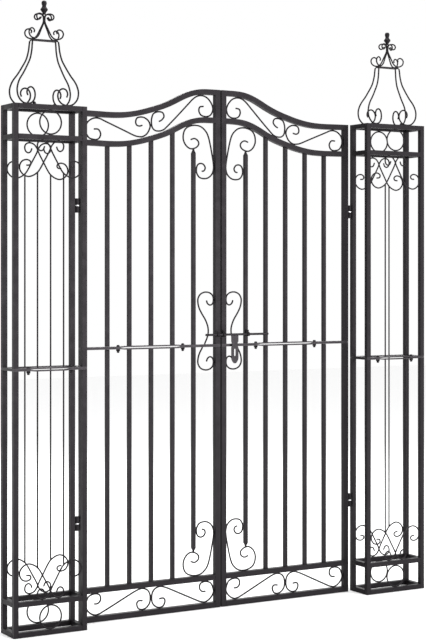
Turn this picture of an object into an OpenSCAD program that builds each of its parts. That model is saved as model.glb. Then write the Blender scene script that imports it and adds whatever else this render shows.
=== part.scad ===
// Double-leaf garden gate: two lattice towers with scrolled crowns carry two
// hinged leaves with ogee tops. Everything is welded from square tube, flat
// bar and round wire. Units are millimetres, +Z is up, -Y is the front.
// The origin is the centre of the foot of the left hinge post.

/* [Towers] */
// Width of each tower along the gate
tower_w = 205; // [195:1:215]
// Depth of each tower, front to back
tower_d = 86; // [80:1:95]
// Height of each tower without its crown
tower_h = 1358; // [1350:1:1366]
// Side of the square tube of the tower posts and rails
post_a = 13; // [12:0.5:14]
// Diameter of the thin upright rods in the tower faces
rod_d = 3.6; // [3:0.1:4.5]

/* [Leaves] */
// Width of one leaf
leaf_w = 427; // [420:1:434]
// Clear gap between a hinge post and its leaf
hinge_gap = 15.5; // [15:0.1:17]
// Clear gap between the two leaves
mid_gap = 5; // [4:0.5:8]
// Side of the square tube of the stiles and rails
stile_a = 15; // [14:0.5:16]
// Side of the square upright bars
bar_a = 10; // [9:0.5:11]
// Distance from the hinge post to the first bar's centre
bar_first = 97; // [95:0.5:99]
// Distance between bar centres
bar_pitch = 66; // [64:0.5:67]

/* [Scrolls] */
// Diameter of the round wire of the scrolls
wire_d = 4; // [3:0.1:4.4]
// Outer diameter of the plain rings in the towers
ring_od = 64; // [58:0.5:64]

/* [Hinges] */
// Height of the lower hinge's centre
hinge_low_z = 265; // [250:1:280]
// Height of the upper hinge's centre
hinge_high_z = 1104.5; // [1090:0.5:1120]
// Diameter of the hinge barrels
barrel_d = 14; // [12:0.5:14.5]
// Diameter of the hinge pins
pin_d = 5; // [4:0.5:6]

/* [Latch] */
// Diameter of the sliding bolt's rod
bolt_d = 6.5; // [5:0.5:6.5]
// Height of the sliding bolt's centre line
bolt_z = 755.5; // [750:0.5:758]

/* [Hidden] */

coat = "#3b3a3c";
opening = 2 * (hinge_gap + leaf_w) + mid_gap;
gate_w = 2 * tower_w + opening;
leaf_y = tower_d - post_a / 2;
// The row's origin: the foot of the left hinge post.
ox = tower_w - post_a / 2;
oy = leaf_y;
// Scroll drawings were made for a 427 mm leaf and follow its width.
kx = leaf_w / 427;
wr = wire_d / 2;

// ---- placing -------------------------------------------------------------
// Everything is drawn from the left tower's outer front corner at the ground.
module placed() { translate([-ox, -oy, 0]) children(); }
module mirrored() { translate([gate_w, 0, 0]) mirror([1, 0, 0]) children(); }
module as_left() { color(coat) placed() children(); }
module as_right() { color(coat) placed() mirrored() children(); }
module on_leaf() { translate([tower_w + hinge_gap, leaf_y, 0]) children(); }
module on_tower_axis() { translate([tower_w / 2, tower_d / 2, 0]) children(); }

// ---- curves --------------------------------------------------------------
function cr(a, b, c, d, t) = 0.5 * ((2 * b) + (c - a) * t
    + (2 * a - 5 * b + 4 * c - d) * t * t + (3 * b - a - 3 * c + d) * t * t * t);
function at(p, i) = i < 0 ? 2 * p[0] - p[1]
    : i >= len(p) ? 2 * p[len(p) - 1] - p[len(p) - 2] : p[i];
// A smooth line through hand-set points, n steps to a span.
function smooth(p, n) = concat(
    [for (i = [0:len(p) - 2]) for (j = [0:n - 1])
        cr(at(p, i - 1), p[i], p[i + 1], at(p, i + 2), j / n)], [p[len(p) - 1]]);
function unit(v) = v / norm(v);
function tangent(p, i) = unit(p[min(i + 1, len(p) - 1)] - p[max(i - 1, 0)]);
function reversed(p) = [for (i = [len(p) - 1:-1:0]) p[i]];

// A round wire along 3-D points, ref being the direction it never runs in.
module wire(p, d, sides = 6, ref = [0, 1, 0]) {
    n = len(p);
    rr = d / 2 / cos(180 / sides) * 0.985;
    ring = [for (i = [0:n - 1]) let (t = tangent(p, i), u = unit(cross(t, ref)),
        v = cross(u, t)) for (k = [0:sides - 1]) let (a = 360 * (k + 0.5) / sides)
        p[i] + rr * (cos(a) * u + sin(a) * v)];
    side = [for (i = [0:n - 2]) for (k = [0:sides - 1]) let (m = (k + 1) % sides)
        each [[i * sides + k, i * sides + m, (i + 1) * sides + m],
            [i * sides + k, (i + 1) * sides + m, (i + 1) * sides + k]]];
    polyhedron(ring, concat(side, [[for (k = [sides - 1:-1:0]) k]],
        [[for (k = [0:sides - 1]) (n - 1) * sides + k]]), convexity = 8);
}

// ---- leaf scroll drawings: [from the leaf's hinge side, height] -----------
scroll_a = [[42, 1309], [55, 1308.5], [62, 1298], [59, 1287], [51, 1281.5],
    [40, 1281.5], [28, 1285], [20, 1296], [17.2, 1309], [22, 1324], [33, 1334],
    [47, 1338.5], [61, 1337], [76, 1331], [132, 1309], [161, 1297.5],
    [175, 1294.5], [188, 1295], [201, 1303], [209, 1316], [211, 1326],
    [206, 1338], [194, 1346], [182, 1347.5], [171, 1344], [167, 1334],
    [170, 1325.5], [178.5, 1323], [187.5, 1325.5]];
scroll_b = [[238, 1338], [246.5, 1342.5], [253.5, 1351.5], [251, 1361],
    [243.5, 1364.5], [231.5, 1363.5], [220.5, 1357.5], [215.5, 1344],
    [215.2, 1332], [218, 1320.5], [227, 1313], [240.5, 1312.5], [250, 1315.5],
    [259.5, 1322], [293.5, 1354.5], [330, 1391], [345, 1405.5], [359.5, 1414],
    [375.5, 1415.5], [390.5, 1409.5], [402.5, 1396], [407.5, 1381],
    [402.5, 1366.5], [392, 1359.5], [378.5, 1359], [368.5, 1363],
    [363, 1373.5], [366, 1384], [378, 1386.5]];
scroll_c = [[337, 1293], [349, 1296.5], [359.5, 1291], [362.5, 1282],
    [356.5, 1273.5], [345, 1268.5], [333, 1269], [321, 1278], [314, 1292.5],
    [314.5, 1309], [321.5, 1322.5], [334.5, 1330], [352, 1333], [370, 1329.5],
    [385, 1317.5], [393, 1303], [399.5, 1279.5], [405, 1253], [408.8, 1232],
    [409.5, 1215], [404.5, 1200], [392, 1189.5], [377, 1187], [363.5, 1191],
    [355.8, 1203], [355.5, 1215], [359, 1224], [367, 1228.5], [377, 1226.5],
    [383, 1217.5], [379.5, 1209], [372, 1207]];
scroll_d = [[43, 47], [53.5, 47.5], [61, 54.5], [61.5, 65], [56.5, 71.5],
    [46, 73.8], [34, 72], [24, 65], [17.5, 45.5], [23, 32], [33, 22.5],
    [45, 17.7], [55, 19], [70, 24.5], [149, 61.5], [167, 69.5], [179, 73.3],
    [190.5, 73.6], [202, 69], [209.5, 58.5], [211.3, 44], [208.5, 31],
    [199, 21], [187.5, 17.6], [176, 20.5], [170.5, 31], [171.5, 38],
    [177, 42], [188, 41]];
// Upper half of the scroll at the middle of the meeting stile.
lyre_half = [[387, 850.5], [390.5, 842], [398, 837.5], [405.5, 840.5],
    [409, 849], [407.5, 862], [399, 870.5], [387.5, 873.5], [376, 872],
    [366, 866], [360, 854.5], [360.5, 841], [365, 827], [374, 811.5],
    [383, 798], [389.5, 784], [392.5, 772]];
lyre_mid_z = 766;
side_mid_z = 713.2;
// Centre line of the ogee top rail; the second rail runs 77.5 below it.
ogee = [[15, 1349.5], [50, 1349], [90, 1348.5], [130, 1350.5], [170, 1357],
    [210, 1367.5], [250, 1380.5], [280, 1393.5], [310, 1408.5], [340, 1420],
    [370, 1425.5], [412, 1426.5]];
rail_drop = 77.5;
leaf_rail_z = 76.5;
// Where each long bar's upper length runs into the second rail.
bar_top = [1271, 1276, 1291, 1316];
flats_z = 725.8;
flat_t = 3.5;
// Where the two halves of a leaf are bolted, from its hinge side.
leaf_bolts = [114, 312];

function to3(p) = [for (q = p) [q[0] * kx, 0, q[1]]];
module scroll(p, n = 2) { wire(smooth(to3(p), n), wire_d); }
function flip_z(p, c) = [for (q = p) [q[0], 2 * c - q[1]]];
function flip_x(p, c) = [for (q = p) [2 * c - q[0], q[1]]];

// ---- leaves ----------------------------------------------------------------
module ogee_band(drop) {
    c = smooth([for (q = ogee) [q[0] * kx, q[1] - drop]], 3);
    n = len(c);
    h = stile_a / 2;
    function off(i, s) = let (t = tangent(c, i))
        i == 0 || i == n - 1 ? c[i] + [0, s * h] : c[i] + s * h * [-t[1], t[0]];
    rotate([90, 0, 0]) translate([0, 0, -h]) linear_extrude(2 * h)
        polygon(concat([for (i = [0:n - 1]) off(i, 1)],
            [for (i = [n - 1:-1:0]) off(i, -1)]));
}
// Two pieces of square tube stacked on each side of the middle flats.
module split_post(a, z1) {
    translate([0, -a / 2, 0]) cube([a, a, flats_z - flat_t - 0.2]);
    translate([0, -a / 2, flats_z + flat_t + 0.2])
        cube([a, a, z1 - flats_z - flat_t - 0.2]);
}
module leaf_stiles() {
    split_post(stile_a, ogee[0][1] + stile_a / 2);
    translate([leaf_w - stile_a, 0, 0]) split_post(stile_a, ogee[len(ogee) - 1][1] + stile_a / 2);
}
module leaf_top_rails() { ogee_band(0); ogee_band(rail_drop); }
module leaf_bottom_rails() for (z = [0, leaf_rail_z])
    translate([stile_a, -stile_a / 2, z]) cube([leaf_w - 2 * stile_a, stile_a, stile_a]);
// One flat, bowed away from its twin between the two bolts.
module bowed_flat(x0, x1, bolts, w, s) {
    e = 0.2; b = 1.5; r = 14;
    rotate([90, 0, 0]) translate([0, 0, -w / 2]) linear_extrude(w) polygon([
        [x0, s * e], [bolts[0] + 4, s * e], [bolts[0] + 4 + r, s * b],
        [bolts[1] - 4 - r, s * b], [bolts[1] - 4, s * e], [x1, s * e],
        [x1, s * (e + flat_t)], [bolts[1] - 4, s * (e + flat_t)],
        [bolts[1] - 4 - r, s * (b + flat_t)], [bolts[0] + 4 + r, s * (b + flat_t)],
        [bolts[0] + 4, s * (e + flat_t)], [x0, s * (e + flat_t)]]);
}
module leaf_middle_flats() {
    for (s = [-1, 1]) translate([0, 0, flats_z]) bowed_flat(0, leaf_w, leaf_bolts * kx, stile_a, s);
    for (x = leaf_bolts * kx) translate([x, 0, flats_z]) {
        translate([0, 0, -13]) cylinder(d = 6.5, h = 21, $fn = 24);
    }
}
function bar_x(i) = bar_first - hinge_gap + bar_pitch * i;
module leaf_bars() {
    difference() {
        for (i = [0:3]) {
            translate([bar_x(i) - bar_a / 2, -bar_a / 2, leaf_rail_z + stile_a])
                cube([bar_a, bar_a, flats_z - flat_t - 1.5 - leaf_rail_z - stile_a]);
            translate([bar_x(i) - bar_a / 2, -bar_a / 2, flats_z + flat_t + 1.5])
                cube([bar_a, bar_a, bar_top[i] - flats_z - flat_t - 1.5]);
        }
        ogee_band(rail_drop);
    }
    // The short bar's two halves, each ending in a four-sided point.
    translate([bar_x(4) - bar_a / 2, -bar_a / 2, flats_z + flat_t + 0.3])
        cube([bar_a, bar_a, 1256 - flats_z - flat_t - 0.3]);
    translate([bar_x(4) - bar_a / 2, -bar_a / 2, 170])
        cube([bar_a, bar_a, flats_z - flat_t - 0.3 - 170]);
    translate([bar_x(4), 0, 1256]) rotate([0, 0, 45])
        cylinder(d1 = bar_a * sqrt(2), d2 = 4, h = 10, $fn = 4);
    translate([bar_x(4), 0, 161]) rotate([0, 0, 45])
        cylinder(d1 = 4, d2 = bar_a * sqrt(2), h = 9, $fn = 4);
}
module leaf_top_scrolls() { scroll(scroll_a); scroll(scroll_b); }
module leaf_bottom_scrolls() { scroll(scroll_d); scroll(flip_x(scroll_d, 213.5)); }
module leaf_side_scrolls() {
    scroll(scroll_c);
    scroll(flip_z(scroll_c, side_mid_z));
    // The tall scroll is cut at the flats: one length stands on them, one hangs.
    scroll(concat(lyre_half, reversed(flip_z([for (q = lyre_half) if (q[1] < 797 && q[1] > 760) q], lyre_mid_z)), [[381, 731.2]]));
    scroll(concat([[374.5, 720.4]], reversed(flip_z([for (q = lyre_half) if (q[1] > 820) q], lyre_mid_z))));
}
// Sleeves on the leaf that drop over the post's pins.
module hinge_sleeves() {
    for (z = [hinge_low_z, hinge_high_z]) translate([-hinge_gap / 2, 0, z + 2]) {
        difference() {
            union() {
                cylinder(d = barrel_d, h = 16.8, $fn = 48);
                translate([0, -3, 0]) cube([hinge_gap / 2, 6, 16.8]);
            }
            translate([0, 0, -1]) cylinder(d = pin_d + 0.12, h = 20, $fn = 48);
        }
    }
}

// ---- towers ----------------------------------------------------------------
ring2_z = tower_h - 90.5;
ring3_z = 77.5;
tower_mid_z = tower_h / 2 + 1;
module tower_posts() for (x = [0, tower_w - post_a], y = [0, tower_d - post_a])
    translate([x, y, 0]) {
        cube([post_a, post_a, tower_mid_z - flat_t - 0.2]);
        translate([0, 0, tower_mid_z + flat_t + 0.2])
            cube([post_a, post_a, tower_h - tower_mid_z - flat_t - 0.2]);
    }
module tower_rails() for (z = [0, ring3_z, ring2_z, tower_h - post_a]) {
    for (y = [0, tower_d - post_a]) translate([post_a, y, z])
        cube([tower_w - 2 * post_a, post_a, post_a]);
    for (x = [0, tower_w - post_a]) translate([x, post_a, z])
        cube([post_a, tower_d - 2 * post_a, post_a]);
}
module tower_middle_ring() translate([0, 0, tower_mid_z]) {
    for (s = [-1, 1]) {
        translate([0, post_a / 2, 0])
            bowed_flat(0, tower_w, [tower_w / 2 - 60, tower_w / 2 + 60], post_a, s);
        translate([0, tower_d - post_a, s > 0 ? 0.2 : -0.2 - flat_t])
            cube([tower_w, post_a, flat_t]);
        for (x = [0, tower_w - post_a]) translate([x, post_a, s > 0 ? 0.2 : -0.2 - flat_t])
            cube([post_a, tower_d - 2 * post_a, flat_t]);
    }
    for (s = [-1, 1]) translate([tower_w / 2 + s * 60, post_a / 2, -13])
        cylinder(d = 6.5, h = 21, $fn = 24);
}
rod_in = 2.6;
rod_z = 180.2;
module tower_rods() for (s = [-1, 1], y = [rod_in, tower_d - rod_in])
    translate([tower_w / 2 + s * 36.5, y, 0]) {
        translate([0, 0, rod_z]) cylinder(d = rod_d, h = tower_mid_z - flat_t - 2 - rod_z, $fn = 20);
        translate([0, 0, tower_mid_z + flat_t + 2])
            cylinder(d = rod_d, h = tower_h - rod_z - tower_mid_z - flat_t - 2, $fn = 20);
    }
module tower_rings() for (y = [rod_in, tower_d - rod_in], z = [(ring3_z + post_a) / 2, tower_h - (ring3_z + post_a) / 2])
    translate([tower_w / 2, y, z]) rotate([90, 0, 0])
        rotate_extrude($fn = 72) translate([(ring_od - rod_d) / 2, 0]) circle(d = rod_d, $fn = 20);
// One S-scroll of a tower face: [from the face's middle, height above the mirror plane].
tower_s = [[-16.5, 572], [-20.5, 563], [-27.5, 560], [-34.5, 564.5], [-36.8, 574.5],
    [-33, 582.5], [-23, 586], [-11, 582.5], [-3, 573.5], [0, 567], [6, 554.5],
    [16.5, 536], [27.5, 516.5], [36, 505], [48.5, 496.5], [62.5, 493],
    [76, 498], [85, 509.5], [85.2, 522], [78, 532.5], [66, 536], [57, 532.5],
    [55, 527], [58.5, 522.5], [67.5, 521.5]];
// Like solids of one face meet where the two S-scrolls cross.
module tower_face_scrolls(y) for (u = [-1, 1], s = [-1, 1])
    wire(smooth([for (q = tower_s) [tower_w / 2 + s * q[0], y, tower_h / 2 + u * q[1]]], 2),
        rod_d, 5);
module hinge_pins() for (z = [hinge_low_z, hinge_high_z])
    translate([tower_w + hinge_gap / 2, leaf_y, z]) {
        translate([0, 0, -18.8]) cylinder(d = barrel_d, h = 16.8, $fn = 48);
        translate([-hinge_gap / 2, -3, -18.8]) cube([hinge_gap / 2, 6, 16.8]);
        // The washer between the two barrels, then the pin through both.
        translate([0, 0, -2.5]) cylinder(d = barrel_d - 1.6, h = 4.1, $fn = 48);
        translate([0, 0, -10]) cylinder(d = pin_d, h = 28, $fn = 48);
    }

// ---- crowns: [along the gate, across, height] from the tower's axis ---------
crown_leg = [[36.5, 9, 1525], [37.7, 9.7, 1514], [39.5, 10.6, 1498], [44.8, 12.6, 1477],
    [55, 15.5, 1457], [66.2, 18.7, 1438], [77, 21.8, 1422.5], [83.5, 24, 1408],
    [86, 25, 1393], [82.5, 25, 1376.5], [71, 24, 1363.5], [57, 22.5, 1360],
    [43, 19, 1363.5], [34, 16, 1374], [32, 15, 1387.5], [36.5, 16.5, 1399],
    [45, 18.5, 1403.5], [53.5, 20.3, 1399.5], [57, 20.9, 1390], [54.5, 20.5, 1381]];
crown_scroll = [[9.6, 3.2, 1588.3], [11.3, 3.7, 1585], [14.3, 4.5, 1582], [17.7, 5.5, 1581],
    [21.3, 6.6, 1582.2], [23.6, 7.4, 1585.6], [24, 7.5, 1589.2], [22.3, 7, 1593.2],
    [19.1, 6, 1595.4], [14.9, 4.7, 1596.2], [10.1, 3.4, 1595.9], [6.2, 2.6, 1594.3],
    [3.8, 2.3, 1591.2], [2.4, 2.3, 1587.4], [2.3, 2.3, 1582.5], [2.3, 2.3, 1577], [3.3, 2.4, 1571],
    [6.7, 2.9, 1562.5], [10.3, 3.7, 1555], [14, 4.7, 1547],
    [18.4, 6, 1538.8], [26.3, 8, 1532], [36.3, 10.3, 1531.4], [45, 12.8, 1536.4],
    [48.2, 13.7, 1545.8], [44.6, 12.7, 1553.6], [37.3, 10.8, 1556.1], [31.2, 9.2, 1551.4],
    [32.6, 9.6, 1545]];
crown_ring_z = 1527.2;
module four(p) for (sx = [-1, 1], sy = [-1, 1])
    wire(smooth([for (q = p) [sx * q[0], sy * q[1], q[2]]], 2), wire_d, 5,
        unit([-sx * sy * 0.27, 1, 0]));
// Two flats across the tower's top, under the legs' feet, with a cap nut each.
module crown_straps() for (s = [-1, 1]) {
    translate([post_a - tower_w / 2, s * 22 - 6, tower_h - 3.2])
        cube([tower_w - 2 * post_a, 12, 3]);
    translate([s * 36, s * 20, tower_h - 6]) cylinder(d = 5, h = 9, $fn = 24);
    translate([s * 36, s * 20, tower_h - 0.2]) cylinder(d = 10, h = 4.4, $fn = 6);
    translate([s * 36, s * 20, tower_h + 4]) cylinder(d1 = 8.4, d2 = 7, h = 2.4, $fn = 32);
    translate([s * 36, s * 20, tower_h + 6]) cylinder(d1 = 7, d2 = 3, h = 2.4, $fn = 32);
}
module crown_legs() four(crown_leg);
module crown_scrolls() four(crown_scroll);
module crown_ring() translate([0, 0, crown_ring_z - 2]) difference() {
    translate([-35.2, -7.8, 0]) cube([70.4, 15.6, 4]);
    translate([-31, -3.6, -1]) cube([62, 7.2, 6]);
}
module finial() rotate_extrude($fn = 48) polygon([
    [0, 1594.3], [3.3, 1594.3], [4.1, 1596.6], [5, 1599.5], [7, 1602.5], [9.1, 1605.2],
    [9.8, 1607.6], [8.8, 1610], [6.8, 1612.5], [5.6, 1614.8], [5.4, 1617], [6.1, 1619.5],
    [6.8, 1622.3], [7, 1625], [6, 1628.2], [3.6, 1630.4], [0, 1631]]);

// ---- latch ---------------------------------------------------------------
bolt_y = leaf_y - stile_a / 2 - 6;
bolt_x0 = gate_w / 2 - 52;
bolt_x1 = gate_w / 2 + 150;
stile_r = gate_w / 2 + mid_gap / 2;
hook_x = gate_w - tower_w - bar_first - 4 * bar_pitch + 0.5;
// A lug on the frame with a ring for the rod.
module eye(x0, x1, back) difference() {
    union() {
        translate([x0, bolt_y, bolt_z]) rotate([0, 90, 0]) cylinder(d = bolt_d + 5.5, h = x1 - x0, $fn = 40);
        translate([x0, bolt_y + 1, bolt_z - 4]) cube([x1 - x0, back - bolt_y - 1, 16]);
    }
    translate([x0 - 1, bolt_y, bolt_z]) rotate([0, 90, 0]) cylinder(d = bolt_d + 1, h = x1 - x0 + 2, $fn = 40);
}
module bolt_keeper() eye(stile_r - mid_gap - 14.5, stile_r - mid_gap - 7, leaf_y - stile_a / 2);
module bolt_guides() {
    eye(stile_r + 0.5, stile_r + 8, leaf_y - stile_a / 2);
    // The second guide is open below, so that the handle can pass through it.
    difference() {
        eye(hook_x - 3, hook_x + 3, leaf_y - bar_a / 2);
        translate([hook_x - 4, bolt_y - 2.3, bolt_z - 9]) cube([8, 4.6, 9]);
    }
}
module slide_bolt() {
    translate([bolt_x0, bolt_y, bolt_z]) rotate([0, 90, 0]) cylinder(d = bolt_d, h = bolt_x1 - bolt_x0, $fn = 32);
    translate([gate_w / 2 + 41, bolt_y + 1.5, bolt_z]) rotate([90, 0, 0]) linear_extrude(3) difference() {
        polygon([[-11, 0], [11, 0], [11, -19], [8.5, -24], [8.5, -32], [11, -37], [11, -66],
            [9.5, -72], [6, -77.5], [2.5, -80.5], [-2.5, -80.5], [-6, -77.5], [-9.5, -72],
            [-11, -66], [-11, -37], [-9.5, -32], [-9.5, -24], [-11, -19]]);
        translate([0, -57.5]) circle(d = 6, $fn = 32);
        translate([0, -43]) circle(d = 6, $fn = 32);
        translate([-3, -57.5]) square([6, 14.5]);
    }
}

// ---- the gate --------------------------------------------------------------
as_left() tower_posts();  // left_tower_posts
as_left() tower_rails();  // left_tower_rails
as_left() tower_middle_ring();  // left_tower_middle_ring
as_left() tower_rods();  // left_tower_rods
as_left() tower_rings();  // left_tower_rings
as_left() tower_face_scrolls(rod_in);  // left_tower_front_scrolls
as_left() tower_face_scrolls(tower_d - rod_in);  // left_tower_back_scrolls
as_left() on_tower_axis() crown_straps();  // left_crown_straps
as_left() on_tower_axis() crown_legs();  // left_crown_legs
as_left() on_tower_axis() crown_ring();  // left_crown_ring
as_left() on_tower_axis() crown_scrolls();  // left_crown_scrolls
as_left() on_tower_axis() finial();  // left_finial
as_left() hinge_pins();  // left_hinge_pins
as_right() tower_posts();  // right_tower_posts
as_right() tower_rails();  // right_tower_rails
as_right() tower_middle_ring();  // right_tower_middle_ring
as_right() tower_rods();  // right_tower_rods
as_right() tower_rings();  // right_tower_rings
as_right() tower_face_scrolls(rod_in);  // right_tower_front_scrolls
as_right() tower_face_scrolls(tower_d - rod_in);  // right_tower_back_scrolls
as_right() on_tower_axis() crown_straps();  // right_crown_straps
as_right() on_tower_axis() crown_legs();  // right_crown_legs
as_right() on_tower_axis() crown_ring();  // right_crown_ring
as_right() on_tower_axis() crown_scrolls();  // right_crown_scrolls
as_right() on_tower_axis() finial();  // right_finial
as_right() hinge_pins();  // right_hinge_pins
as_left() on_leaf() leaf_stiles();  // left_leaf_stiles
as_left() on_leaf() leaf_top_rails();  // left_leaf_top_rails
as_left() on_leaf() leaf_bottom_rails();  // left_leaf_bottom_rails
as_left() on_leaf() leaf_middle_flats();  // left_leaf_middle_flats
as_left() on_leaf() leaf_bars();  // left_leaf_bars
as_left() on_leaf() leaf_top_scrolls();  // left_leaf_top_scrolls
as_left() on_leaf() leaf_bottom_scrolls();  // left_leaf_bottom_scrolls
as_left() on_leaf() leaf_side_scrolls();  // left_leaf_side_scrolls
as_left() on_leaf() hinge_sleeves();  // left_hinge_sleeves
as_right() on_leaf() leaf_stiles();  // right_leaf_stiles
as_right() on_leaf() leaf_top_rails();  // right_leaf_top_rails
as_right() on_leaf() leaf_bottom_rails();  // right_leaf_bottom_rails
as_right() on_leaf() leaf_middle_flats();  // right_leaf_middle_flats
as_right() on_leaf() leaf_bars();  // right_leaf_bars
as_right() on_leaf() leaf_top_scrolls();  // right_leaf_top_scrolls
as_right() on_leaf() leaf_bottom_scrolls();  // right_leaf_bottom_scrolls
as_right() on_leaf() leaf_side_scrolls();  // right_leaf_side_scrolls
as_right() on_leaf() hinge_sleeves();  // right_hinge_sleeves
as_left() bolt_keeper();
as_left() bolt_guides();
as_left() slide_bolt();
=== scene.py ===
import math

import bpy
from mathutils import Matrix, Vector, kdtree
from mathutils.bvhtree import BVHTree


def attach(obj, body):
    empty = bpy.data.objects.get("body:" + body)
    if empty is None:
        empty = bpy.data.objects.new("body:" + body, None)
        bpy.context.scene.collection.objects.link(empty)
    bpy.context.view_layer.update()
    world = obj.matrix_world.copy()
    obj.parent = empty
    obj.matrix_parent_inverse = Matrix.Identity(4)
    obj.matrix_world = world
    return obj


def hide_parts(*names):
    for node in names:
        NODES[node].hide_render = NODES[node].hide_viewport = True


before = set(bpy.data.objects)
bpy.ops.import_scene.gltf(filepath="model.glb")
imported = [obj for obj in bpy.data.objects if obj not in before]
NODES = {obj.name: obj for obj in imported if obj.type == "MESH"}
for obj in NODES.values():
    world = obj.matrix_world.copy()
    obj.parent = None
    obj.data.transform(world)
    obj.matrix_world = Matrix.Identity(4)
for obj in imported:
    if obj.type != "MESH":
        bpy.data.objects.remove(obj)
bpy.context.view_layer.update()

# ---------------------------------------------------------------- measures
# The same drawing that the CAD uses, in millimetres from the left tower's
# outer front corner. row() turns it into the row frame's metres.
GATE_W, TOWER_W, TOWER_D, TOWER_H = 1300.0, 205.0, 86.0, 1358.0
LEAF_W, HINGE_GAP, MID_GAP = 427.0, 15.5, 5.0
LEAF_X, LEAF_Y = TOWER_W + HINGE_GAP, TOWER_D - 6.5
OX, OY = TOWER_W - 6.5, LEAF_Y
WIRE_R, ROD_R, CROWN_R = 2.2, 2.05, 2.0
FLATS_Z, FLAT_T, TOWER_MID_Z = 725.8, 3.5, 680.0
RIGHT = {"left": False, "right": True}


def row(x, y, z, right=False):
    return Vector((((GATE_W - x if right else x) - OX) / 1000, (y - OY) / 1000, z / 1000))


SCROLL_A = [[42, 1309], [55, 1308.5], [62, 1298], [59, 1287], [51, 1281.5],
    [40, 1281.5], [28, 1285], [20, 1296], [17.2, 1309], [22, 1324], [33, 1334],
    [47, 1338.5], [61, 1337], [76, 1331], [132, 1309], [161, 1297.5],
    [175, 1294.5], [188, 1295], [201, 1303], [209, 1316], [211, 1326],
    [206, 1338], [194, 1346], [182, 1347.5], [171, 1344], [167, 1334],
    [170, 1325.5], [178.5, 1323], [187.5, 1325.5]]
SCROLL_B = [[238, 1338], [246.5, 1342.5], [253.5, 1351.5], [251, 1361],
    [243.5, 1364.5], [231.5, 1363.5], [220.5, 1357.5], [215.5, 1344],
    [215.2, 1332], [218, 1320.5], [227, 1313], [240.5, 1312.5], [250, 1315.5],
    [259.5, 1322], [293.5, 1354.5], [330, 1391], [345, 1405.5], [359.5, 1414],
    [375.5, 1415.5], [390.5, 1409.5], [402.5, 1396], [407.5, 1381],
    [402.5, 1366.5], [392, 1359.5], [378.5, 1359], [368.5, 1363],
    [363, 1373.5], [366, 1384], [378, 1386.5]]
SCROLL_C = [[337, 1293], [349, 1296.5], [359.5, 1291], [362.5, 1282],
    [356.5, 1273.5], [345, 1268.5], [333, 1269], [321, 1278], [314, 1292.5],
    [314.5, 1309], [321.5, 1322.5], [334.5, 1330], [352, 1333], [370, 1329.5],
    [385, 1317.5], [393, 1303], [399.5, 1279.5], [405, 1253], [408.8, 1232],
    [409.5, 1215], [404.5, 1200], [392, 1189.5], [377, 1187], [363.5, 1191],
    [355.8, 1203], [355.5, 1215], [359, 1224], [367, 1228.5], [377, 1226.5],
    [383, 1217.5], [379.5, 1209], [372, 1207]]
SCROLL_D = [[43, 47], [53.5, 47.5], [61, 54.5], [61.5, 65], [56.5, 71.5],
    [46, 73.8], [34, 72], [24, 65], [17.5, 45.5], [23, 32], [33, 22.5],
    [45, 17.7], [55, 19], [70, 24.5], [149, 61.5], [167, 69.5], [179, 73.3],
    [190.5, 73.6], [202, 69], [209.5, 58.5], [211.3, 44], [208.5, 31],
    [199, 21], [187.5, 17.6], [176, 20.5], [170.5, 31], [171.5, 38],
    [177, 42], [188, 41]]
LYRE_HALF = [[387, 850.5], [390.5, 842], [398, 837.5], [405.5, 840.5],
    [409, 849], [407.5, 862], [399, 870.5], [387.5, 873.5], [376, 872],
    [366, 866], [360, 854.5], [360.5, 841], [365, 827], [374, 811.5],
    [383, 798], [389.5, 784], [392.5, 772]]
OGEE = [[15, 1349.5], [50, 1349], [90, 1348.5], [130, 1350.5], [170, 1357],
    [210, 1367.5], [250, 1380.5], [280, 1393.5], [310, 1408.5], [340, 1420],
    [370, 1425.5], [412, 1426.5]]
TOWER_S = [[-16.5, 572], [-20.5, 563], [-27.5, 560], [-34.5, 564.5], [-36.8, 574.5],
    [-33, 582.5], [-23, 586], [-11, 582.5], [-3, 573.5], [0, 567], [6, 554.5],
    [16.5, 536], [27.5, 516.5], [36, 505], [48.5, 496.5], [62.5, 493],
    [76, 498], [85, 509.5], [85.2, 522], [78, 532.5], [66, 536], [57, 532.5],
    [55, 527], [58.5, 522.5], [67.5, 521.5]]
CROWN_LEG = [[36.5, 9, 1525], [37.7, 9.7, 1514], [39.5, 10.6, 1498], [44.8, 12.6, 1477],
    [55, 15.5, 1457], [66.2, 18.7, 1438], [77, 21.8, 1422.5], [83.5, 24, 1408],
    [86, 25, 1393], [82.5, 25, 1376.5], [71, 24, 1363.5], [57, 22.5, 1360],
    [43, 19, 1363.5], [34, 16, 1374], [32, 15, 1387.5], [36.5, 16.5, 1399],
    [45, 18.5, 1403.5], [53.5, 20.3, 1399.5], [57, 20.9, 1390], [54.5, 20.5, 1381]]
CROWN_SCROLL = [[9.6, 3.2, 1588.3], [11.3, 3.7, 1585], [14.3, 4.5, 1582], [17.7, 5.5, 1581],
    [21.3, 6.6, 1582.2], [23.6, 7.4, 1585.6], [24, 7.5, 1589.2], [22.3, 7, 1593.2],
    [19.1, 6, 1595.4], [14.9, 4.7, 1596.2], [10.1, 3.4, 1595.9], [6, 2.2, 1594.3],
    [3.3, 1.6, 1591.2], [1.7, 1.4, 1587.4], [1.4, 1.4, 1582.5], [1.4, 1.4, 1577], [2.9, 1.9, 1571],
    [6.7, 2.9, 1562.5], [10.3, 3.7, 1555], [14, 4.7, 1547],
    [18.4, 6, 1538.8], [26.3, 8, 1532], [36.3, 10.3, 1531.4], [45, 12.8, 1536.4],
    [48.2, 13.7, 1545.8], [44.6, 12.7, 1553.6], [37.3, 10.8, 1556.1], [31.2, 9.2, 1551.4],
    [32.6, 9.6, 1545]]
FINIAL_Z = 1594.3
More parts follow.
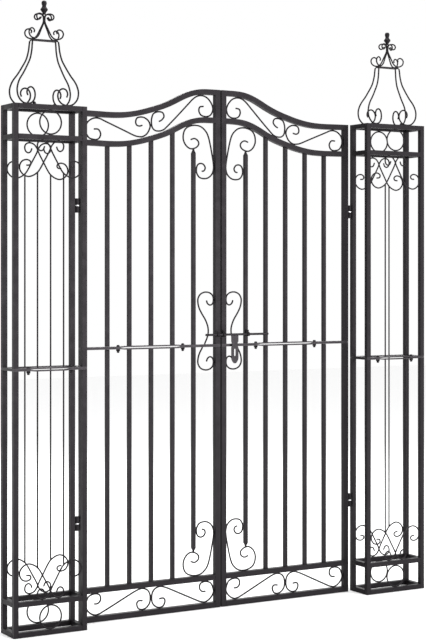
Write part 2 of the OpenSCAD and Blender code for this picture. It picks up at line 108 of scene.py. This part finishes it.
FINIAL = [[0, 0], [3.3, 0.2], [4.1, 2.3], [5, 5.2], [7, 8.2], [9.1, 10.9], [9.8, 13.3],
    [8.8, 15.7], [6.8, 18.2], [5.6, 20.5], [5.4, 22.7], [6.1, 25.2], [6.8, 28], [7, 30.7],
    [6, 33.9], [3.6, 36], [0, 36.6]]
BAR_FIRST, BAR_PITCH, BAR_A, STILE_A, POST_A = 97.0, 66.0, 10.0, 15.0, 13.0
LEAF_BOLTS = (114.0, 312.0)
LYRE_MID_Z, SIDE_MID_Z = 766.0, 713.2
RING_R, RING_Z = 30.2, (45.25, TOWER_H - 45.25)
ROD_X, ROD_IN, ROD_END = 36.5, 2.6, 176.5


# ---------------------------------------------------------------- curves
def cr(a, b, c, d, t):
    return [0.5 * (2 * q + (r - p) * t + (2 * p - 5 * q + 4 * r - s) * t * t
            + (3 * q - p - 3 * r + s) * t ** 3) for p, q, r, s in zip(a, b, c, d)]


def smooth(p, n=7):
    first = [2 * a - b for a, b in zip(p[0], p[1])]
    last = [2 * a - b for a, b in zip(p[-1], p[-2])]
    q = [first] + [list(v) for v in p] + [last]
    out = []
    for i in range(1, len(q) - 2):
        out += [cr(q[i - 1], q[i], q[i + 1], q[i + 2], j / n) for j in range(n)]
    return out + [list(p[-1])]


class Build:
    """Collects the vertices and faces of one piece."""

    def __init__(self):
        self.v, self.f = [], []

    def add(self, verts, faces):
        k = len(self.v)
        self.v += verts
        self.f += [tuple(i + k for i in f) for f in faces]

    def piece(self, name, body, material, replaces=(), smooth_by=None):
        me = bpy.data.meshes.new(name)
        me.from_pydata([tuple(v) for v in self.v], [], self.f)
        me.validate()
        me.polygons.foreach_set("use_smooth", [True] * len(me.polygons))
        if smooth_by is not None:
            me.set_sharp_from_angle(angle=math.radians(smooth_by))
        me.update()
        ob = bpy.data.objects.new(name, me)
        bpy.context.scene.collection.objects.link(ob)
        me.materials.append(material)
        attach(ob, body)
        if replaces:
            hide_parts(*replaces)
        return ob


def frames(pts, closed=False):
    """Tangent and two cross directions at each point, without twist."""
    n = len(pts)
    tan = []
    for i in range(n):
        a = pts[(i - 1) % n] if closed else pts[max(i - 1, 0)]
        b = pts[(i + 1) % n] if closed else pts[min(i + 1, n - 1)]
        tan.append((b - a).normalized())
    ref = Vector((0, 1, 0)) if abs(tan[0].y) < 0.9 else Vector((1, 0, 0))
    u = (ref - tan[0] * ref.dot(tan[0])).normalized()
    out = []
    for t in tan:
        u = (u - t * u.dot(t)).normalized()
        out.append((t, u, t.cross(u)))
    return out


def sweep(build, pts, r, sides=12, closed=False):
    """A round wire along the points, its two ends dressed to a small radius."""
    fr = frames(pts, closed)
    rings = []
    n = len(pts)
    for i, (p, (t, u, w)) in enumerate(zip(pts, fr)):
        rings.append((p, r, t, u, w))
    if not closed:
        e = 0.45 * r
        p, (t, u, w) = pts[0], fr[0]
        rings[0] = (p + t * e, r, t, u, w)
        head = [(p + t * e * 0.3, r * 0.86, t, u, w), (p, r * 0.55, t, u, w)]
        p, (t, u, w) = pts[-1], fr[-1]
        rings[-1] = (p - t * e, r, t, u, w)
        tail = [(p - t * e * 0.3, r * 0.86, t, u, w), (p, r * 0.55, t, u, w)]
        rings = head[::-1] + rings + tail
    verts = []
    for p, rr, t, u, w in rings:
        for k in range(sides):
            a = 2 * math.pi * k / sides
            verts.append(p + (u * math.cos(a) + w * math.sin(a)) * rr)
    m = len(rings)
    faces = []
    for i in range(m if closed else m - 1):
        j = (i + 1) % m
        for k in range(sides):
            l = (k + 1) % sides
            faces.append((i * sides + k, i * sides + l, j * sides + l, j * sides + k))
    if not closed:
        faces.append(tuple(range(sides - 1, -1, -1)))
        faces.append(tuple((m - 1) * sides + k for k in range(sides)))
    build.add(verts, faces)


def lathe(build, profile, base, axis=(0, 0, 1), sides=32, star=0):
    """A turned shape: profile is (radius, height) in mm, up the axis from base."""
    ax = Vector(axis).normalized()
    ref = Vector((1, 0, 0)) if abs(ax.x) < 0.9 else Vector((0, 1, 0))
    u = (ref - ax * ref.dot(ax)).normalized()
    w = ax.cross(u)
    verts, faces = [], []
    m = len(profile)
    for r, h in profile:
        for k in range(sides):
            a = 2 * math.pi * (k + 0.5) / sides
            verts.append(base + ax * (h / 1000) + (u * math.cos(a) + w * math.sin(a)) * (max(r, 0.02) / 1000))
    for i in range(m - 1):
        for k in range(sides):
            l = (k + 1) % sides
            faces.append((i * sides + k, i * sides + l, (i + 1) * sides + l, (i + 1) * sides + k))
    faces.append(tuple(range(sides - 1, -1, -1)))
    faces.append(tuple((m - 1) * sides + k for k in range(sides)))
    build.add(verts, faces)


def blob(build, c, t, nrm, half, ripple=0.0, phase=0.0):
    """A weld bead: long along t, standing off along nrm, half sizes in mm."""
    t = t.normalized()
    nrm = (nrm - t * nrm.dot(t))
    nrm = nrm.normalized() if nrm.length > 1e-9 else t.orthogonal().normalized()
    b = t.cross(nrm)
    ns, nr = 10, 9
    verts, faces = [], []
    for i in range(nr):
        s = -1 + 2 * (i + 0.5) / nr
        s = math.sin(s * math.pi / 2)
        q = math.sqrt(max(1 - s * s, 0.03))
        q *= 1 + ripple * math.sin(phase + i * 2.1)
        for k in range(ns):
            a = 2 * math.pi * k / ns
            verts.append(c + (t * s * half[0] + nrm * math.cos(a) * q * half[1]
                              + b * math.sin(a) * q * half[2]) / 1000)
    for i in range(nr - 1):
        for k in range(ns):
            l = (k + 1) % ns
            faces.append((i * ns + k, i * ns + l, (i + 1) * ns + l, (i + 1) * ns + k))
    faces.append(tuple(range(ns - 1, -1, -1)))
    faces.append(tuple((nr - 1) * ns + k for k in range(ns)))
    build.add(verts, faces)


# ---------------------------------------------------------------- materials
def new_material(name):
    m = bpy.data.materials.new(name)
    m.use_nodes = True
    nt = m.node_tree
    nt.nodes.clear()
    out = nt.nodes.new("ShaderNodeOutputMaterial")
    bsdf = nt.nodes.new("ShaderNodeBsdfPrincipled")
    nt.links.new(bsdf.outputs["BSDF"], out.inputs["Surface"])
    coord = nt.nodes.new("ShaderNodeTexCoord")
    return m, nt, bsdf, coord.outputs["Object"]


def noise(nt, vec, scale, detail, rough=0.55):
    n = nt.nodes.new("ShaderNodeTexNoise")
    n.inputs["Scale"].default_value = scale
    n.inputs["Detail"].default_value = detail
    n.inputs["Roughness"].default_value = rough
    nt.links.new(vec, n.inputs["Vector"])
    return n.outputs["Fac"]


def spread(nt, fac, lo, hi, a=0.3, b=0.7):
    m = nt.nodes.new("ShaderNodeMapRange")
    m.inputs["From Min"].default_value = a
    m.inputs["From Max"].default_value = b
    m.inputs["To Min"].default_value = lo
    m.inputs["To Max"].default_value = hi
    nt.links.new(fac, m.inputs["Value"])
    return m.outputs["Result"]


def powder_coat(name, dark, light, rough, peel, peel_scale=900.0, gloss=0.11):
    """Satin charcoal coat: orange peel, a faint cloudy tone and uneven gloss."""
    m, nt, bsdf, vec = new_material(name)
    cloud = noise(nt, vec, 9.0, 4.0)
    grain = noise(nt, vec, 260.0, 3.0)
    mix = nt.nodes.new("ShaderNodeMath")
    mix.operation = "MULTIPLY_ADD"
    nt.links.new(cloud, mix.inputs[0])
    mix.inputs[1].default_value = 0.62
    half = nt.nodes.new("ShaderNodeMath")
    half.operation = "MULTIPLY"
    nt.links.new(grain, half.inputs[0])
    half.inputs[1].default_value = 0.38
    nt.links.new(half.outputs[0], mix.inputs[2])
    ramp = nt.nodes.new("ShaderNodeValToRGB")
    ramp.color_ramp.elements[0].position = 0.32
    ramp.color_ramp.elements[0].color = (*dark, 1)
    ramp.color_ramp.elements[1].position = 0.68
    ramp.color_ramp.elements[1].color = (*light, 1)
    nt.links.new(mix.outputs[0], ramp.inputs["Fac"])
    nt.links.new(ramp.outputs["Color"], bsdf.inputs["Base Color"])
    nt.links.new(spread(nt, noise(nt, vec, 42.0, 4.0), rough - 0.06, rough + 0.07), bsdf.inputs["Roughness"])
    bsdf.inputs["Specular IOR Level"].default_value = gloss
    bsdf.inputs["Specular Tint"].default_value = (1.0, 0.92, 1.0, 1.0)
    peel_tex = noise(nt, vec, peel_scale, 2.0, 0.4)
    bump = nt.nodes.new("ShaderNodeBump")
    bump.inputs["Strength"].default_value = peel
    bump.inputs["Distance"].default_value = 0.00025
    nt.links.new(peel_tex, bump.inputs["Height"])
    nt.links.new(bump.outputs["Normal"], bsdf.inputs["Normal"])
    bsdf.inputs["Metallic"].default_value = 0.0
    return m


TUBE = powder_coat("coated_tube", (0.0062, 0.0055, 0.0063), (0.0108, 0.0097, 0.0110), 0.44, 0.35)
WIRE = powder_coat("coated_wire", (0.0060, 0.0054, 0.0061), (0.0104, 0.0094, 0.0106), 0.42, 0.25)
# Flats and the towers' middle rings get a lighter copy of the tube coat: painted sheen for the light caught along
# their top faces. Their higher gloss is real.
FLAT_PAINTED_SHEEN = powder_coat("coated_flat_painted_sheen", (0.0095, 0.0086, 0.0096), (0.0150, 0.0136, 0.0152), 0.42, 0.3, 900.0, 0.22)
# The slide bolt gets a lighter copy of the tube coat: painted sheen for the highlight along the rod's top. Its
# higher gloss and lower roughness are real.
ROD_PAINTED_SHEEN = powder_coat("coated_rod_painted_sheen", (0.0080, 0.0072, 0.0081), (0.0125, 0.0114, 0.0127), 0.34, 0.15, 900.0, 0.15)
WELD = powder_coat("coated_weld", (0.0045, 0.0041, 0.0046), (0.0080, 0.0073, 0.0081), 0.50, 0.8, 420.0, 0.10)
FIXING = powder_coat("black_fixings", (0.0040, 0.0037, 0.0041), (0.0070, 0.0065, 0.0071), 0.36, 0.2, 900.0, 0.16)


def plated():
    """Dull zinc plating with a faint cloudy tone."""
    m, nt, bsdf, vec = new_material("plated_washer")
    ramp = nt.nodes.new("ShaderNodeValToRGB")
    ramp.color_ramp.elements[0].position = 0.3
    ramp.color_ramp.elements[0].color = (0.52, 0.52, 0.53, 1)
    ramp.color_ramp.elements[1].position = 0.7
    ramp.color_ramp.elements[1].color = (0.68, 0.68, 0.69, 1)
    nt.links.new(noise(nt, vec, 320.0, 3.0), ramp.inputs["Fac"])
    nt.links.new(ramp.outputs["Color"], bsdf.inputs["Base Color"])
    nt.links.new(spread(nt, noise(nt, vec, 600.0, 2.0), 0.30, 0.42), bsdf.inputs["Roughness"])
    bsdf.inputs["Metallic"].default_value = 0.6
    return m


PLATED = plated()


# ---------------------------------------------------------------- CAD nodes kept
def dress(node, width, angle=35, segments=3, coat=None):
    """Rounds a CAD node's edges with modifiers and gives it its coat."""
    ob = NODES[node]
    me = ob.data
    me.polygons.foreach_set("use_smooth", [True] * len(me.polygons))
    me.materials.clear()
    me.materials.append(coat or TUBE)
    if width:
        flat = ob.modifiers.new("join_flats", "DECIMATE")
        flat.decimate_type = "DISSOLVE"
        flat.angle_limit = math.radians(1.0)
        bev = ob.modifiers.new("edges", "BEVEL")
        bev.width = width / 1000
        bev.segments = segments
        bev.limit_method = "ANGLE"
        bev.angle_limit = math.radians(angle)
        bev.harden_normals = True
        bev.use_clamp_overlap = True


for side in ("left", "right"):
    dress(side + "_tower_posts", 0.7)
    dress(side + "_tower_rails", 0.7)
    dress(side + "_tower_middle_ring", 0.4, segments=2, coat=FLAT_PAINTED_SHEEN)
    dress(side + "_crown_straps", 0.4, segments=2)
    dress(side + "_crown_ring", 1.2)
    dress(side + "_hinge_pins", 0.5, segments=2)
    dress(side + "_hinge_sleeves", 0.5, segments=2)
    dress(side + "_leaf_stiles", 0.8)
    dress(side + "_leaf_top_rails", 0.8)
    dress(side + "_leaf_bottom_rails", 0.8)
    dress(side + "_leaf_middle_flats", 0.4, segments=2, coat=FLAT_PAINTED_SHEEN)
    dress(side + "_leaf_bars", 0.6)
for node in ("bolt_keeper", "bolt_guides"):
    dress(node, 0.4, segments=2)
dress("slide_bolt", 0.4, segments=2, coat=ROD_PAINTED_SHEEN)

# ---------------------------------------------------------------- wires
WIRES = []  # body, node, points in the row frame, radius in mm, closed


def flip_z(p, c):
    return [[q[0], 2 * c - q[1]] for q in p]


def flip_x(p, c):
    return [[2 * c - q[0], q[1]] for q in p]


def add_wire(body, node, pts, r, closed=False):
    WIRES.append((body, node, pts, r, closed))


for side, mir in RIGHT.items():
    body = side + "_leaf"

    def on_leaf(p, n=7, dy=0.0):
        return [row(LEAF_X + q[0], LEAF_Y + dy, q[1], mir) for q in smooth(p, n)]

    for p in (SCROLL_A, SCROLL_B):
        add_wire(body, side + "_leaf_top_scrolls", on_leaf(p), WIRE_R)
    for p in (SCROLL_D, flip_x(SCROLL_D, LEAF_W / 2)):
        add_wire(body, side + "_leaf_bottom_scrolls", on_leaf(p), WIRE_R)
    lyre_low = flip_z(LYRE_HALF, LYRE_MID_Z)[::-1]
    top = LYRE_HALF + [q for q in lyre_low if q[1] > 740] + [[381.2, 730.6]]
    low = [[374.3, 721.0]] + [q for q in lyre_low if q[1] < 712]
    for p in (SCROLL_C, flip_z(SCROLL_C, SIDE_MID_Z), top, low):
        add_wire(body, side + "_leaf_side_scrolls", on_leaf(p), WIRE_R)
    for y, where in ((ROD_IN, "front"), (TOWER_D - ROD_IN, "back")):
        for u in (-1, 1):
            for s in (-1, 1):
                pts = [row(TOWER_W / 2 + s * q[0], y, TOWER_H / 2 + u * q[1], mir) for q in smooth(TOWER_S)]
                add_wire("towers", f"{side}_tower_{where}_scrolls", pts, ROD_R)
            zc = RING_Z[0] if u < 0 else RING_Z[1]
            ring = [row(TOWER_W / 2 + RING_R * math.cos(a), y, zc + RING_R * math.sin(a), mir)
                    for a in [2 * math.pi * k / 72 for k in range(72)]]
            add_wire("towers", side + "_tower_rings", ring, ROD_R, True)
        for s in (-1, 1):
            x = TOWER_W / 2 + s * ROD_X
            for z0, z1 in ((ROD_END, TOWER_MID_Z - FLAT_T - 0.2), (TOWER_MID_Z + FLAT_T + 0.2, TOWER_H - ROD_END)):
                pts = [row(x, y, z0 + (z1 - z0) * i / 8, mir) for i in range(9)]
                add_wire("towers", side + "_tower_rods", pts, ROD_R)
    for sx in (-1, 1):
        for sy in (-1, 1):
            for p, node in ((CROWN_LEG, "_crown_legs"), (CROWN_SCROLL, "_crown_scrolls")):
                pts = [row(TOWER_W / 2 + sx * q[0], TOWER_D / 2 + sy * q[1], q[2], mir) for q in smooth(p)]
                add_wire("towers", side + node, pts, WIRE_R if node == "_crown_legs" else CROWN_R)

by_node = {}
for body, node, pts, r, closed in WIRES:
    by_node.setdefault((body, node), []).append((pts, r, closed))
for (body, node), items in by_node.items():
    b = Build()
    for pts, r, closed in items:
        sweep(b, pts, r / 1000, 12, closed)
    b.piece(node + "_wire", body, WIRE, replaces=(node,), smooth_by=50)

# ---------------------------------------------------------------- finials
for side, mir in RIGHT.items():
    b = Build()
    lathe(b, smooth(FINIAL, 4), row(TOWER_W / 2, TOWER_D / 2, FINIAL_Z, mir), sides=40)
    b.piece(side + "_finial_turned", "towers", WIRE, replaces=(side + "_finial",), smooth_by=60)


# ---------------------------------------------------------------- welds
def solid_tree(names):
    vs, fs = [], []
    for n in names:
        me = NODES[n].data
        k = len(vs)
        vs += [v.co.copy() for v in me.vertices]
        fs += [tuple(i + k for i in p.vertices) for p in me.polygons]
    return BVHTree.FromPolygons(vs, fs)


TREES = {"towers": solid_tree([s + n for s in RIGHT for n in (
    "_tower_posts", "_tower_rails", "_tower_middle_ring", "_crown_straps", "_crown_ring")])}
for side in RIGHT:
    TREES[side + "_leaf"] = solid_tree([side + n for n in (
        "_leaf_stiles", "_leaf_top_rails", "_leaf_bottom_rails", "_leaf_middle_flats", "_leaf_bars")])

weld_count = 0
for body, tree in TREES.items():
    b = Build()
    here = [w for w in WIRES if w[0] == body]
    samples = []
    for wi, (_, node, pts, r, closed) in enumerate(here):
        s, acc = [], 0.0
        for i in range(len(pts) - 1):
            seg = (pts[i + 1] - pts[i]).length
            k = max(1, round(seg / 0.0012))
            for j in range(k):
                s.append((pts[i].lerp(pts[i + 1], j / k), acc + seg * j / k, (pts[i + 1] - pts[i]).normalized()))
            acc += seg
        samples.append((s, acc))
    kd = kdtree.KDTree(sum(len(s) for s, _ in samples))
    flat = []
    for wi, (s, _) in enumerate(samples):
        for p, a, t in s:
            kd.insert(p, len(flat))
            flat.append((wi, a, p, t))
    kd.balance()
    placed = []

    def free(p, gap):
        return all((p - q).length > gap for q in placed)

    for wi, (s, total) in enumerate(samples):
        r = here[wi][3] / 1000
        run = []
        for p, a, t in s + [(None, 0, None)]:
            hit = tree.find_nearest(p) if p is not None else None
            near = hit is not None and hit[0] is not None and hit[3] < r + 0.0009
            if near:
                run.append((hit[3], p, t, hit[0]))
            elif run:
                d, q, tt, on = min(run, key=lambda z: z[0])
                length = len(run) * 1.2
                if free(on, 0.003):
                    c = on.lerp(q, 0.35)
                    h = min(max(length * 0.32, 2.6), 4.6)
                    nrm = q - on if (q - on).length > 1e-6 else Vector((0, 0, 1))
                    blob(b, c, tt, nrm, (h, 1.5, 2.2 if r > 0.0019 else 2.0), 0.08, weld_count)
                    placed.append(on)
                    weld_count += 1
                run = []
    for i, (wi, a, p, t) in enumerate(flat):
        r = here[wi][3] / 1000
        best = None
        for q, j, d in kd.find_range(p, 2 * r + 0.0006):
            wj, aj, _, tj = flat[j]
            if wj < wi or (wj == wi and (abs(aj - a) < 0.014 or here[wi][4] or aj < a)):
                continue
            if best is None or d < best[0]:
                best = (d, q, tj)
        if best:
            c = (p + best[1]) / 2
            if free(c, 0.006):
                nrm = Vector((0, 1, 0)) if abs(t.y) < 0.8 else Vector((1, 0, 0))
                tt = (t + best[2] if t.dot(best[2]) > 0 else t - best[2])
                blob(b, c, tt, tt.cross(nrm), (2.7, 1.9, 1.75), 0.08, weld_count)
                placed.append(c)
                weld_count += 1
    b.piece(body + "_welds", body, WELD)

# ---------------------------------------------------------------- fixings
def bolt_and_nut(b, x, y, z, mir):
    """A domed head above the two flats, a hex nut and the bolt's end below."""
    up, down = Vector((0, 0, 1)), Vector((0, 0, -1))
    lathe(b, [[0, 3.2], [4.4, 3.2], [4.7, 3.9], [4.5, 5.2], [3.7, 6.6], [2.3, 7.5], [0, 7.8]],
          row(x, y, z, mir), up, 24)
    lathe(b, [[0, 3.2], [4.9, 3.3], [5.3, 3.9], [5.3, 8.3], [4.8, 8.9], [3.2, 8.9]],
          row(x, y, z, mir), down, 6)
    lathe(b, [[0, 8.0], [3.4, 8.4], [3.5, 11.6], [3.1, 12.8], [1.8, 13.5], [0, 13.6]],
          row(x, y, z, mir), down, 20)


for side, mir in RIGHT.items():
    b = Build()
    for x in LEAF_BOLTS:
        bolt_and_nut(b, LEAF_X + x, LEAF_Y, FLATS_Z, mir)
    b.piece(side + "_leaf_bolts", side + "_leaf", FIXING, smooth_by=35)
b = Build()
for mir in RIGHT.values():
    for s in (-1, 1):
        bolt_and_nut(b, TOWER_W / 2 + s * 60, POST_A / 2, TOWER_MID_Z, mir)
b.piece("tower_bolts", "towers", FIXING, smooth_by=35)


def screw(b, x, y, z):
    lathe(b, [[0, -0.4], [2.5, -0.4], [2.6, 0.4], [2.2, 1.2], [1.2, 1.7], [0, 1.8]],
          row(x, y, z), (0, -1, 0), 20)


b = Build()
screw(b, 637.2, 67.0, 764.0)
b.piece("keeper_screw", "left_leaf", FIXING, smooth_by=35)
b = Build()
screw(b, 656.8, 67.0, 764.0)
screw(b, 734.5, 67.0, 764.0)
b.piece("guide_screws", "right_leaf", FIXING, smooth_by=35)

# Plated washers between the hinge barrels, on the post's pins.
b = Build()
for mir in RIGHT.values():
    for z in (265.0, 1104.5):
        lathe(b, [[2.0, -1.95], [6.1, -1.95], [6.5, -1.6], [6.5, 1.25], [6.1, 1.6], [2.0, 1.6]],
              row(TOWER_W + HINGE_GAP / 2, LEAF_Y, z, mir), sides=40)
b.piece("hinge_washers", "towers", PLATED, smooth_by=30)

# ---------------------------------------------------------------- joint beads
ogee_line = smooth(OGEE, 6)


def ogee_at(x):
    for a, c in zip(ogee_line, ogee_line[1:]):
        if a[0] <= x <= c[0]:
            return a[1] + (c[1] - a[1]) * (x - a[0]) / max(c[0] - a[0], 1e-6)
    return ogee_line[-1][1]


for side, mir in RIGHT.items():
    b = Build()
    n = 0
    for i in range(4):
        x = BAR_FIRST - HINGE_GAP + BAR_PITCH * i
        for z, up in ((91.5, 1), (FLATS_Z + 4.9, 1), (FLATS_Z - 4.9, -1), (ogee_at(x) - 77.5 - 7.6, -1)):
            for f in (-1, 1):
                blob(b, row(LEAF_X + x, LEAF_Y + f * BAR_A / 2, z + up * 0.4, mir), Vector((1, 0, 0)),
                     Vector((0, f, up)), (4.9, 1.25, 1.25), 0.10, n)
                blob(b, row(LEAF_X + x + f * BAR_A / 2, LEAF_Y, z + up * 0.4, mir), Vector((0, 1, 0)),
                     Vector((f, 0, up)), (4.9, 1.15, 1.15), 0.10, n + 1)
                n += 2
    for z in (0.0, 76.5):
        for x in (STILE_A, LEAF_W - STILE_A):
            for f in (-1, 1):
                blob(b, row(LEAF_X + x, LEAF_Y + f * (STILE_A / 2 - 0.5), z + 7.5, mir), Vector((0, 0, 1)),
                     Vector((0, f, 0)), (7.0, 1.1, 1.4), 0.08, n)
                n += 1
    short = BAR_FIRST - HINGE_GAP + BAR_PITCH * 4
    for z, up in ((1265.0, 1), (162.0, -1)):
        blob(b, row(LEAF_X + short, LEAF_Y, z, mir), Vector((0, 0, 1)), Vector((1, 0, 0)), (3.6, 3.1, 3.1), 0.06, n)
    b.piece(side + "_leaf_joint_welds", side + "_leaf", WELD)
b = Build()
n = 0
for mir in RIGHT.values():
    for z in (0.0, 77.5, TOWER_H - 90.5, TOWER_H - POST_A):
        for x in (POST_A, TOWER_W - POST_A):
            for y in (0.5, TOWER_D - 0.5):
                f = -1 if y < 20 else 1
                blob(b, row(x, y, z + POST_A / 2, mir), Vector((0, 0, 1)), Vector((0, f, 0)),
                     (6.0, 1.0, 1.3), 0.08, n)
                n += 1
        for y in (POST_A, TOWER_D - POST_A):
            for x, f in ((0.5, -1), (TOWER_W - 0.5, 1)):
                blob(b, row(x, y, z + POST_A / 2, mir), Vector((0, 0, 1)), Vector((f, 0, 0)),
                     (6.0, 1.0, 1.3), 0.08, n)
                n += 1
b.piece("tower_joint_welds", "towers", WELD)

# ---------------------------------------------------------------- floor, light, camera
me = bpy.data.meshes.new("floor")
s = 9.0
me.from_pydata([(-s, -s, 0), (s, -s, 0), (s, s, 0), (-s, s, 0)], [], [(0, 1, 2, 3)])
floor = bpy.data.objects.new("floor", me)
bpy.context.scene.collection.objects.link(floor)
floor.location.z = -0.0004
fm = bpy.data.materials.new("pale_floor")
fm.use_nodes = True
fb = fm.node_tree.nodes["Principled BSDF"]
fb.inputs["Base Color"].default_value = (0.94, 0.94, 0.94, 1)
fb.inputs["Roughness"].default_value = 0.9
me.materials.append(fm)

world = bpy.data.worlds.new("studio")
bpy.context.scene.world = world
world.use_nodes = True
world.node_tree.nodes["Background"].inputs["Color"].default_value = (1, 1, 1, 1)
world.node_tree.nodes["Background"].inputs["Strength"].default_value = 1.0


def area(name, loc, target, size, power):
    light = bpy.data.lights.new(name, "AREA")
    light.shape = "RECTANGLE"
    light.size, light.size_y = size
    light.energy = power
    ob = bpy.data.objects.new(name, light)
    bpy.context.scene.collection.objects.link(ob)
    ob.location = loc
    ob.rotation_euler = (Vector(target) - Vector(loc)).to_track_quat("-Z", "Y").to_euler()
    return ob


area("key_soft", (2.0, -4.0, 1.05), (0.35, 0, 0.7), (2.4, 1.9), 165)
area("top_soft", (0.45, -0.2, 3.6), (0.45, 0, 0), (3.2, 2.2), 85)
area("back_soft", (2.2, 2.6, 2.4), (0.45, 0, 0.8), (2.2, 2.2), 45)
area("side_strip", (-0.72, 0.82, 0.8), (-0.1, 0.04, 0.8), (0.4, 1.7), 1.5)

bpy.context.scene.view_settings.view_transform = "Standard"

cam_data = bpy.data.cameras.new("view")
cam = bpy.data.objects.new("view", cam_data)
bpy.context.scene.collection.objects.link(cam)
cam.location = (-1.7867, -3.81819, 0.92715)
cam.rotation_euler = (math.radians(90), 0, -0.526013)
cam_data.sensor_fit = "AUTO"
cam_data.sensor_width = 36.0
cam_data.lens = 1593.193 * 36.0 / 640.0
cam_data.shift_x = 0.0
cam_data.shift_y = (272.705 - 320.0) / 640.0
bpy.context.scene.camera = cam
